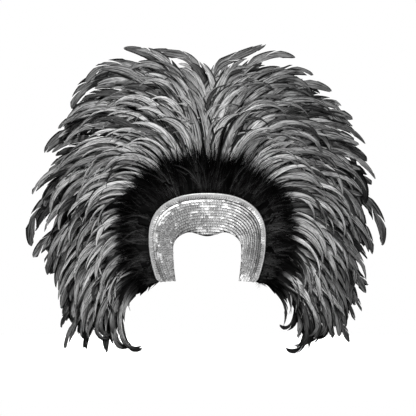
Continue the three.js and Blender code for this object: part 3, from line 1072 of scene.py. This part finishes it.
def draw_strands(side, lower, coat, random):
    """The strands of a coat, drawn tuft by tuft and then strand by strand."""
    tufts, strands = coat["tufts"], coat["strands"]
    count = tufts * strands
    place = random.uniform(*coat.get("places", TUFT_PLACES[lower]), size=tufts)
    low = smoothstep(place, TUFT_LOW_FROM, TUFT_LOW_FULL)
    start = np.interp(place, FLOW_PLACE, FLOW_START) + TUFT_HEADING_SPREAD * random.normal(size=tufts)
    turn_spread = TUFT_TURN_SPREAD * (1 - TUFT_CALM_LOW * low)
    turn = coat.get("turn", TUFT_TURN + TUFT_TURN_LOW * low) + turn_spread * random.normal(size=tufts)
    ragged = 1 + ripple(RUFF_RAGGED, place, side)
    length = ruff_length(side, place) * ragged * random.uniform(*coat["length"], size=tufts)
    length = length * (1 - TUFT_SHORT_LOW * low)
    proud = random.uniform(*coat["proud"], size=tufts)
    root_place = np.repeat(place, strands) + STRAND_PLACE_SPREAD * random.normal(size=count)
    root = outer_edge.inside(root_place, random.uniform(*STRAND_INSETS, size=count))
    tone = np.repeat(random.uniform(*coat["tone"], size=tufts), strands)
    tone = tone * random.uniform(*STRAND_TONES, size=count)
    return Strands(
        place=np.repeat(place, strands),
        root=root,
        start=np.repeat(start, strands) + STRAND_HEADING_SPREAD * random.normal(size=count),
        turn=np.repeat(turn, strands) + STRAND_TURN_SPREAD * random.normal(size=count),
        length=np.repeat(length, strands) * random.uniform(*STRAND_LENGTHS, size=count),
        tone=tone * (RUFF_TONE_LOWER[side] if lower else RUFF_TONE_UPPER),
        fan=np.repeat(proud, strands) + STRAND_FAN_SPREAD * random.normal(size=count),
    )


def add_tufts(gathered, side, lower, layer, coat, random):
    """Fine strands of down in tufts that spread from the strip and curl at their tips."""
    strands = draw_strands(side, lower, coat, random)
    t = (np.arange(STRAND_STEPS) + 0.5) / STRAND_STEPS
    angle = np.radians(strands.start[:, None] + strands.turn[:, None] * t**STRAND_TURN_POWER)
    steps = columns(np.cos(angle), np.sin(angle)) * (strands.length / STRAND_STEPS)[:, None, None]
    root = strands.root[:, None, :]
    line = np.concatenate([root, root + np.cumsum(steps, axis=1)], axis=1)
    angle = np.concatenate([angle[:, :1], angle], axis=1)[:, :, None]
    shares = np.linspace(0, 1, STRAND_STEPS + 1)[None, :, None]
    hand = np.array([-1, 1])
    across = (coat["width"] / 2 * (1 - shares**STRAND_TAPER) + STRAND_TIP) * hand
    x = side * (line[:, :, None, 0] - np.sin(angle) * across)
    z = line[:, :, None, 1] + np.cos(angle) * across
    place, fan, tone = (np.repeat(row, x[0].size) for row in (strands.place, strands.fan, strands.tone))
    y = layer_depth(x.ravel(), z.ravel(), layer, side, place, fan).reshape(x.shape)
    y = y + STRAND_TWIST * coat["width"] * hand
    first = x[0].size * np.arange(len(x))[:, None, None]
    quads = first + grid_faces(STRAND_STEPS + 1, 2, closed=False)[:, 0][None]
    gathered.add(columns(x, y, z), quads, reach=shares + 0 * x, across=0, strand=0, vane=0, tone=tone)


def make_ruff(finish):
    layer = Layer(strip_depth(0), RUFF_FAN)
    for number, (name, (side, lower)) in enumerate(QUARTERS.items()):
        random = np.random.default_rng(RUFF_RANDOM + number)
        gathered = Gathered()
        for plan in lock_plans(side, lower):
            add_feather(gathered, plan, layer, random)
        for coat in RUFF_COATS:
            add_tufts(gathered, side, lower, layer, coat, random)
        if name == FRINGED:
            add_tufts(gathered, side, lower, layer, FRINGE, random)
        piece = gathered.build(f"down_{name}", finish)
        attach(piece, "root")
        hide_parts(f"down_ruff_{name}")


# Backing strips


def make_backing(finish):
    """The felt strips behind the band, each a soft-edged bar along a quarter of the outer edge."""
    half_gap = GAP / 2 / outer_edge.length
    top = TOP_SLIT / outer_edge.length
    for name, (side, lower) in QUARTERS.items():
        low, high = (MIDDLE_SEAM + half_gap, 1) if lower else (top, MIDDLE_SEAM - half_gap)
        place = np.linspace(low, high, STRIP_STATIONS)[:, None] + 0 * STRIP_ACROSS
        inset = STRIP_INSET + STRIP_WIDTH * (1 - STRIP_ACROSS) + 0 * place
        flat = outer_edge.inside(place, inset)
        gathered = Gathered()
        for index in range(len(TIERS) + 1):
            y = wrap(flat[..., 0]) + strip_depth(index) + STRIP_THICK * STRIP_DEEP
            add_loft(gathered, columns(side * flat[..., 0], y, flat[..., 1]))
        piece = gathered.build(f"backing_{name}", finish)
        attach(piece, "root")


# Band


def band_across(place):
    """Outer point, unit way inward and width of the band at unsigned places."""
    outer = outer_edge.at(place)
    way = inner_edge.at(place) - outer
    width = np.hypot(way[..., 0], way[..., 1])
    return outer, way / width[..., None], width


def band_points(place, inset, height):
    """Points at signed places, distances inside the outer edge and heights off the band's back, with
    rounded outer corners at the legs' ends."""
    outer, way, width = band_across(np.abs(place))
    late = np.clip((np.abs(place) - END_FROM) / (1 - END_FROM), 0, 1)
    corner = END_CORNER * (1 - np.sqrt(1 - late**2))
    reach = corner + inset * (width - corner) / width
    flat = outer + way * reach[..., None]
    x = np.where(place < 0, -1, 1) * flat[..., 0]
    return columns(x, wrap(x) - height, flat[..., 1])


def panel_height(place, inset):
    width = band_across(np.abs(place))[2] - TRIM_WIDTH
    share = np.clip((inset - TRIM_WIDTH) / width, 0, 1)
    return PANEL_EDGE + PANEL_CROWN * (1 - (2 * share - 1) ** CROWN_POWER)


def make_pad(finish):
    """Padded face of the band: crowned at the front, flat at the back, with soft ends."""
    place = np.linspace(-1, 1, PAD_STATIONS)[:, None]
    share = np.r_[np.linspace(0, 1, PAD_ACROSS), 1, 0]
    is_front = np.arange(len(share)) < PAD_ACROSS
    width = band_across(np.abs(place))[2] - TRIM_WIDTH - GAP
    inset = TRIM_WIDTH + GAP + width * share
    soft_end = np.sqrt(np.clip((1 - np.abs(place)) / PAD_SOFT_END, PAD_END_LEAST, 1))
    height = np.where(is_front, panel_height(place, inset) * soft_end, 0)
    gathered = Gathered()
    add_loft(gathered, band_points(place + 0 * inset, inset, height))
    piece = gathered.build("band_pad", finish)
    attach(piece, "root")
    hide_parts("sequin_panel")


def disc(radius, cup):
    """Points and quads of a cupped sequin with a hole for its thread, facing +Z."""
    angle = np.arange(SEQUIN_SIDES) * 2 * math.pi / SEQUIN_SIDES
    shares = SEQUIN_RINGS[:, None]
    rings = columns(radius * np.cos(angle) * shares, radius * np.sin(angle) * shares, cup * shares**2)
    return rings.reshape(-1, 3), grid_faces(len(SEQUIN_RINGS), SEQUIN_SIDES, closed=True)


def add_discs(gathered, centres, along, inward, lean, tip, radius, cup, tone):
    """Discs at the centres: lean turns each one about the way inward, tip about the way along."""
    points, quads = disc(radius, cup)
    normal = unit(np.cross(along, inward))
    normal = np.where(normal[:, 1:2] > 0, -normal, normal)
    lean, tip = np.radians(lean)[:, None], np.radians(tip)[:, None]
    axis_x = along * np.cos(lean) + normal * np.sin(lean)
    raised = normal * np.cos(lean) - along * np.sin(lean)
    axis_y = inward * np.cos(tip) + raised * np.sin(tip)
    axis_z = raised * np.cos(tip) - inward * np.sin(tip)
    axes = np.stack([axis_x, axis_y, axis_z], axis=1)
    turned = np.einsum("pk,nkc->npc", points, axes) + centres[:, None, :]
    first = (len(points) * np.arange(len(centres)))[:, None, None, None]
    gathered.add(turned, first + quads[None], tone=np.repeat(tone, len(points)))


def row_frames(place, inset, height):
    """Centres, ways along and ways inward on the band's face."""
    centres = band_points(place, inset, height(place, inset))
    ahead = band_points(place + NEAR_PLACE, inset, height(place + NEAR_PLACE, inset))
    inner = band_points(place, inset + 1, height(place, inset + 1))
    along = unit(ahead - centres)
    inward = inner - centres
    inward = unit(inward - along * (inward * along).sum(axis=1, keepdims=True))
    return centres, along, inward


def spaced_places(inset, step, offset):
    """Signed places along the band at even distances, on the line that runs at an inset."""
    place = np.linspace(-ROW_END, ROW_END, ROW_SAMPLES)
    line = band_points(place, inset + 0 * place, 0 * place)
    run = np.r_[0, np.cumsum(np.linalg.norm(np.diff(line, axis=0), axis=1))]
    return np.interp(np.arange(offset * step, run[-1], step), run, place)


def wander(place, inset):
    """Slow wander of the sequins' tilt over the band, from about -1 to 1."""
    return np.prod([np.sin(a * place + b * inset + c) for a, b, c in WANDER_WAVES], axis=0)


def up_lean(place):
    """Sign that makes sequins lean alike, up or down, on both sides of the band."""
    return np.where(place < 0, 1, -1)


def patch_share(place, inset):
    """How far inside a patch of turned sequins a point of the band lies, from 0 to 1."""
    shares = [
        np.exp(-(((place - at) / half_place) ** 2) - ((inset - deep) / half_deep) ** 2)
        for at, deep, half_place, half_deep in TURNED_PATCHES
    ]
    return np.max(shares, axis=0)


def in_peak_strip(place, inset):
    """Whether points lie in the strip of turned sequins that follows the peak of the inner edge."""
    from_inner = band_across(np.abs(place))[2] - inset
    is_near = np.abs(place - PEAK_STRIP["middle"]) < PEAK_STRIP["half"]
    return is_near & (from_inner > PEAK_STRIP["least"]) & (from_inner < PEAK_STRIP["most"])


def add_sequin_row(gathered, row, inset, random):
    """One row of strung sequins, some of them turned the other way."""
    place = spaced_places(inset, SEQUIN_STEP, 0.5 * (row % 2))
    place = place[inset < band_across(np.abs(place))[2] - SEQUIN_INNER_CLEAR * SEQUIN_RADIUS]
    count = len(place)
    insets = inset + SEQUIN_INSET_SPREAD * random.normal(size=count)
    centres, along, inward = row_frames(place, insets, panel_height)
    centres = centres - np.array([0, SEQUIN_PROUD, 0])
    share = np.maximum(patch_share(place, insets), in_peak_strip(place, insets))
    share = share + ripple(TURNED_DRIFT, place, row) + TURNED_ROWS * (-1) ** row
    is_turned = share + TURNED_SPREAD * random.normal(size=count) > TURNED_FROM
    tilted = np.exp(-(((place - TILTED_ROWS["middle"]) / TILTED_ROWS["half"]) ** TILTED_POWER))
    lean = SEQUIN_LEAN * np.where(is_turned, -1, 1) * up_lean(place)
    lean = lean + SEQUIN_LEAN_SPREAD * random.normal(size=count)
    tip = TILTED_ROWS["tilt"] * tilted + SEQUIN_WANDER * wander(place, insets)
    tip = tip + SEQUIN_TIP_SPREAD * random.normal(size=count)
    # Painted reflection: turned and tilted sequins get a lighter tone, and the tone alternates along the
    # row as painted glints
    tone = np.where(is_turned, TURNED_TONE, SEQUIN_TONE + TILTED_ROWS["tone"] * tilted)
    tone = tone + SEQUIN_TONE_SPREAD * random.normal(size=count)
    tone = tone + SEQUIN_TONE_TURN * (-1) ** np.arange(count)
    add_discs(gathered, centres, along, inward, lean, tip, SEQUIN_RADIUS, SEQUIN_CUP, tone)


def make_sequins(finish):
    """Rows of strung sequins that follow the outer edge over the whole panel. In patches they lie the
    other way, as where a hand has brushed them over, and there they are painted lighter as a painted
    reflection of the light they catch."""
    random = np.random.default_rng(SEQUIN_RANDOM)
    gathered = Gathered()
    widest = band_across(np.array([0.0]))[2][0]
    for row, inset in enumerate(np.arange(TRIM_WIDTH + ROW_FIRST, widest, ROW_STEP)):
        add_sequin_row(gathered, row, inset, random)
    piece = gathered.build("sequins", finish)
    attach(piece, "root")


def gather_roll():
    """The trim's half-round roll along the outer edge."""
    place = np.linspace(-1, 1, ROLL_STATIONS)[:, None]
    angle = math.pi * np.linspace(0, 1, ROLL_ROUND)[None, :]
    height = TRIM_HEIGHT * ROLL_HEIGHT * np.sin(angle) ** ROLL_POWER
    roll = Gathered()
    add_loft(roll, band_points(place, TRIM_WIDTH * (1 - np.cos(angle)) / 2, height))
    return roll


def trim_face(place, inset):
    return 0 * place + TRIM_HEIGHT * TRIM_DISC_HEIGHT


def gather_trim_discs():
    """The trim's row of tightly overlapped sequins, which lean the other way in the ribbed parts."""
    random = np.random.default_rng(TRIM_RANDOM)
    inset = 2 * CORD_RADIUS + TRIM_DISC_INSET * TRIM_DISC_RADIUS
    place = spaced_places(inset, TRIM_DISC_STEP, 0.5)
    count = len(place)
    is_ribbed = np.any([np.abs(place - middle) < half for middle, half in RIBBED_PARTS], axis=0)
    lean = TRIM_DISC_LEAN * np.where(is_ribbed, 1, -1) * up_lean(place)
    lean = lean + TRIM_DISC_SPREAD * random.normal(size=count)
    # Painted light: the tone alternates from sequin to sequin as painted glints, most strongly in the
    # ribbed parts, and is darker on the left and lighter on the right against the key lamp
    is_second = np.arange(count) % 2
    ribbed_tone = RIBBED_TONE + RIBBED_TONE_TURN * is_second
    plain_tone = np.where(place < 0, TRIM_TONE[-1], TRIM_TONE[1]) + TRIM_TONE_TURN * (is_second - 0.5)
    segment_tones = TRIM_SEGMENT_SPREAD * random.uniform(-1, 1, size=2 * TRIM_SEGMENTS)
    segment = (TRIM_SEGMENTS * (1 + place)).astype(int)
    tone = np.where(is_ribbed, ribbed_tone, plain_tone + segment_tones[segment])
    tone = tone + TRIM_TONE_SPREAD * random.normal(size=count)
    tip = TRIM_DISC_SPREAD * random.normal(size=count)
    frames = row_frames(place, inset + 0 * place, trim_face)
    discs = Gathered()
    add_discs(discs, *frames, lean, tip, TRIM_DISC_RADIUS, TRIM_DISC_CUP, tone)
    return discs


def gather_cord():
    """The trim's silver cord, wound with slanting ribs."""
    angle = np.linspace(0, 2 * math.pi, CORD_SIDES, endpoint=False)[None, :]
    place = np.linspace(-1, 1, CORD_STATIONS)[:, None]
    girth = CORD_RADIUS * (1 + CORD_RIBS * np.sin(CORD_LAYS * angle + CORD_WIND * place))
    inset = CORD_RADIUS + girth * np.cos(angle)
    cord = Gathered()
    add_loft(cord, band_points(place + 0 * angle, inset, CORD_RADIUS + girth * np.sin(angle)))
    return cord


def make_trim(roll_finish, disc_finish, cord_finish):
    """Roll along the outer edge, its row of sequins and its bright cord."""
    parts = (
        (gather_roll(), "trim_roll", roll_finish),
        (gather_trim_discs(), "trim_sequins", disc_finish),
        (gather_cord(), "trim_rim", cord_finish),
    )
    for gathered, name, finish in parts:
        piece = gathered.build(name, finish)
        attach(piece, "root")
        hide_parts("edge_trim")


# Finishes


class Nodes:
    """A tree of shader nodes, with short calls that add and join them."""

    def __init__(self, tree):
        self.tree = tree

    def join(self, node, inputs):
        for key, value in inputs.items():
            if isinstance(value, bpy.types.NodeSocket):
                self.tree.links.new(value, node.inputs[key])
            else:
                node.inputs[key].default_value = value

    def add(self, kind, inputs, **settings):
        node = self.tree.nodes.new(kind)
        for key, value in settings.items():
            setattr(node, key, value)
        self.join(node, inputs)
        return node

    def ramp(self, share, stops):
        node = self.add("ShaderNodeValToRGB", {"Fac": share})
        elements = node.color_ramp.elements
        while len(elements) < len(stops):
            elements.new(0.5)
        for element, (position, grey) in zip(elements, stops):
            element.position = position
            element.color = (grey, grey, grey, 1)
        return node.outputs["Color"]


class Finish(Nodes):
    """A material's nodes round one shader."""

    def __init__(self, name):
        self.material = bpy.data.materials.new(name)
        self.material.use_nodes = True
        super().__init__(self.material.node_tree)
        self.shader = self.tree.nodes["Principled BSDF"]

    def field(self, name):
        return self.add("ShaderNodeAttribute", {}, attribute_name=name).outputs["Fac"]

    def math(self, operation, *values):
        return self.add("ShaderNodeMath", dict(enumerate(values)), operation=operation).outputs[0]

    def scaled(self, value, by, plus):
        return self.math("MULTIPLY_ADD", value, by, plus)

    def product(self, value, *others):
        for other in others:
            value = self.math("MULTIPLY", value, other)
        return value

    def place(self):
        return self.add("ShaderNodeTexCoord", {}).outputs["Object"]

    def noise(self, scale, detail, vector=None, stretch=None):
        if vector is None:
            vector = self.place()
        if stretch:
            vector = self.add("ShaderNodeMapping", {"Vector": vector, "Scale": stretch}).outputs[0]
        inputs = {"Scale": scale, "Detail": detail, "Vector": vector}
        return self.add("ShaderNodeTexNoise", inputs).outputs["Fac"]

    def pair(self, x, y):
        return self.add("ShaderNodeCombineXYZ", {"X": x, "Y": y}).outputs[0]

    def grey(self, value):
        inputs = {"Red": value, "Green": value, "Blue": value}
        return self.add("ShaderNodeCombineColor", inputs).outputs[0]

    def bump(self, height, strength, distance):
        inputs = {"Height": height, "Strength": strength, "Distance": distance}
        return self.add("ShaderNodeBump", inputs).outputs["Normal"]

    def finish(self, **sockets):
        self.join(self.shader, {key.replace("_", " "): value for key, value in sockets.items()})
        return self.material


def feather_finish():
    """Cock feather: black down at the base, light grey beyond it, darker to the tip, with fine barbs. The
    light grey just beyond the down is partly a painted highlight, and the darkening to the tip is partly
    painted shade.
    """
    greys_reach = 0.42
    # Greys along the feather: partly its own colour, partly a painted highlight at the peak just past the
    # down and painted shade towards the tip
    greys = [
        (0, 0.003), (0.15, 0.005), (0.21, 0.05), (0.27, 0.33),
        (0.38, 0.36), (0.52, 0.3), (0.75, 0.25), (1, 0.21),
    ]
    barb_lines = 5
    clump_along, clump_across = 0.8, 1.5
    streak_along, streak_across = 7.0, 5.0
    lightest = 0.45
    f = Finish("cock_feather")
    reach = f.math("DIVIDE", f.field("reach"), greys_reach)
    strand = f.field("strand")
    across = f.field("across")
    tone = f.field("tone")
    wave = f.math("SINE", f.product(strand, 2 * math.pi * barb_lines))
    barbs = f.scaled(wave, by=0.1, plus=0.95)
    spot = f.pair(f.product(strand, clump_along), f.product(across, clump_across))
    clump = f.noise(scale=1.0, detail=2.0, vector=spot)
    clump = f.ramp(clump, [(0.32, 0.5), (0.5, 1.0), (0.66, 1.2)])
    line = f.scaled(across, by=streak_across, plus=f.field("vane"))
    streak = f.noise(scale=1.0, detail=2.0, vector=f.pair(line, f.product(reach, streak_along)))
    streak = f.ramp(streak, [(0.38, 0.12), (0.48, 0.9), (0.64, 1.4)])
    # Painted shade: the vane goes near black at its edges, where the edges curl away from the light,
    # drawing a dark outline round each feather
    margin = f.ramp(across, [(0.0, 1.0), (0.7, 0.95), (0.82, 0.14), (1.0, 0.03)])
    toned = f.product(f.ramp(reach, greys), tone, margin)
    lined = f.product(barbs, clump, streak)
    shade = f.math("MINIMUM", f.product(toned, lined), lightest)
    rough = f.scaled(tone, by=0.2, plus=0.3)
    normal = f.bump(wave, strength=0.35, distance=0.0006)
    return f.finish(Base_Color=f.grey(shade), Roughness=rough, Normal=normal, Specular_IOR_Level=0.1)


def down_finish():
    """Black down: deep and matt, with greyer wisps that are partly painted sheen."""
    f = Finish("black_down")
    wisp = f.ramp(f.product(f.field("tone"), 0.5), [(0, 0.0006), (0.3, 0.002), (1, 0.045)])
    fleck = f.scaled(f.noise(scale=160.0, detail=3.0), by=0.9, plus=0.55)
    colour = f.grey(f.product(wisp, fleck))
    rough = f.scaled(fleck, by=0.2, plus=0.5)
    return f.finish(Base_Color=colour, Roughness=rough, Specular_IOR_Level=0.03)


def silver_finish(name, dark, light, roughness):
    """Silver sequin foil: tone by sequin, which carries painted reflections and glints, faint scratches
    and a worn grain.
    """
    f = Finish(name)
    scratch = f.noise(scale=900.0, detail=4.0, stretch=(1.0, 1.0, 0.3))
    tone = f.scaled(scratch, by=0.2, plus=f.math("SUBTRACT", f.field("tone"), 0.1))
    colour = f.ramp(tone, [(0.3, dark), (1.0, light)])
    rough = f.scaled(scratch, by=0.16, plus=roughness)
    normal = f.bump(scratch, strength=0.1, distance=0.0003)
    return f.finish(Base_Color=colour, Metallic=0.35, Roughness=rough, Normal=normal)


def cord_finish():
    """Silver cord: bright, with a fine grain."""
    f = Finish("silver_cord")
    grain = f.noise(scale=420.0, detail=3.0)
    colour = f.ramp(grain, [(0.25, 0.18), (0.75, 0.5)])
    rough = f.scaled(grain, by=0.2, plus=0.26)
    normal = f.bump(grain, strength=0.35, distance=0.0008)
    return f.finish(Base_Color=colour, Metallic=0.3, Roughness=rough, Normal=normal)


def cloth_finish(name, dark, light, weave):
    """Woven backing cloth: crossed threads with a worn tone."""
    f = Finish(name)
    inputs = {"Vector": f.place(), "Scale": weave}
    warp = f.add("ShaderNodeTexWave", inputs, bands_direction="X").outputs["Fac"]
    weft = f.add("ShaderNodeTexWave", inputs, bands_direction="Z").outputs["Fac"]
    threads = f.product(warp, weft)
    worn = f.scaled(f.noise(scale=60.0, detail=4.0), by=0.6, plus=f.product(threads, 0.5))
    colour = f.ramp(worn, [(0.2, dark), (0.8, light)])
    rough = f.scaled(worn, by=0.2, plus=0.7)
    normal = f.bump(threads, strength=0.4, distance=0.0005)
    return f.finish(Base_Color=colour, Roughness=rough, Normal=normal)


def floor_finish():
    """Pale floor that glows faintly."""
    f = Finish("pale_floor")
    tint = f.ramp(f.noise(scale=3.0, detail=2.0), [(0.3, 0.88), (0.7, 0.92)])
    return f.finish(Base_Color=tint, Roughness=0.8, Emission_Color=WHITE, Emission_Strength=0.7)


# Stage


def make_floor():
    """Plain pale floor under the lowest feathers."""
    place = (0, 0, cad_box[0][2] - FLOOR_DROP)
    bpy.ops.mesh.primitive_circle_add(
        vertices=FLOOR_SIDES, radius=FLOOR_RADIUS, fill_type="NGON", location=place
    )
    floor = bpy.context.object
    floor.name = "floor"
    floor.data.materials.append(floor_finish())
    floor.visible_diffuse = False
    floor.visible_glossy = False


def make_world():
    """White surroundings for the camera, and a soft room that is brighter above for the light."""
    world = bpy.data.worlds.new("studio")
    bpy.context.scene.world = world
    world.use_nodes = True
    tree = world.node_tree
    nodes = Nodes(tree)
    way = nodes.add("ShaderNodeTexCoord", {}).outputs["Generated"]
    up = nodes.add("ShaderNodeSeparateXYZ", {0: way}).outputs["Z"]
    height = nodes.add("ShaderNodeMapRange", {"Value": up, "From Min": ROOM_FROM}).outputs["Result"]
    room = tree.nodes["Background"]
    nodes.join(room, {"Color": nodes.ramp(height, ROOM_GREYS), "Strength": ROOM_STRENGTH})
    white = nodes.add("ShaderNodeBackground", {"Color": WHITE})
    is_camera = nodes.add("ShaderNodeLightPath", {}).outputs["Is Camera Ray"]
    inputs = {"Fac": is_camera, 1: room.outputs[0], 2: white.outputs[0]}
    mix = nodes.add("ShaderNodeMixShader", inputs)
    nodes.join(tree.nodes["World Output"], {"Surface": mix.outputs[0]})


def add_light(name, place, size, power):
    """A soft square lamp that looks at the middle of the headdress."""
    data = bpy.data.lights.new(name, "AREA")
    data.size = size
    data.energy = power
    lamp = bpy.data.objects.new(name, data)
    lamp.location = place
    aim = lamp.location - cad_middle
    lamp.rotation_euler = aim.to_track_quat("Z", "Y").to_euler()
    bpy.context.scene.collection.objects.link(lamp)


def make_lights():
    add_light("key", place=(-0.45, -2.2, 2.5), size=0.5, power=200)
    add_light("fill", place=(0.8, -3.0, 0.5), size=1.6, power=72)
    add_light("top", place=(0.2, 0.3, 2.4), size=1.2, power=24)
    add_light("back", place=(0.8, 2.6, 1.2), size=1.6, power=45)


def make_camera():
    data = bpy.data.cameras.new("camera")
    camera = bpy.data.objects.new("camera", data)
    data.sensor_width = SENSOR_WIDTH
    data.lens = SENSOR_WIDTH * CAMERA_DISTANCE / FRAME_WIDTH
    data.clip_end = CAMERA_SIGHT
    camera.location = (FRAME_MIDDLE_X * MM, (FRAME_PLANE_Y - CAMERA_DISTANCE) * MM, FRAME_MIDDLE_Z * MM)
    camera.rotation_euler = (math.pi / 2, 0, 0)
    bpy.context.scene.collection.objects.link(camera)
    bpy.context.scene.camera = camera


make_camera()
make_world()
make_lights()
make_floor()

feather = feather_finish()
for index, tier in enumerate(TIERS):
    make_tier(tier, index, feather)
make_ruff(down_finish())
make_backing(cloth_finish("black_felt", dark=0.004, light=0.02, weave=900.0))
make_pad(cloth_finish("grey_satin", dark=0.015, light=0.05, weave=700.0))
make_sequins(silver_finish("silver_sequins", dark=0.14, light=0.57, roughness=0.44))
make_trim(
    cloth_finish("silver_cloth", dark=0.12, light=0.4, weave=700.0),
    silver_finish("trim_silver", dark=0.1, light=0.58, roughness=0.42),
    cord_finish(),
)

bpy.context.scene.view_settings.view_transform = "Standard"
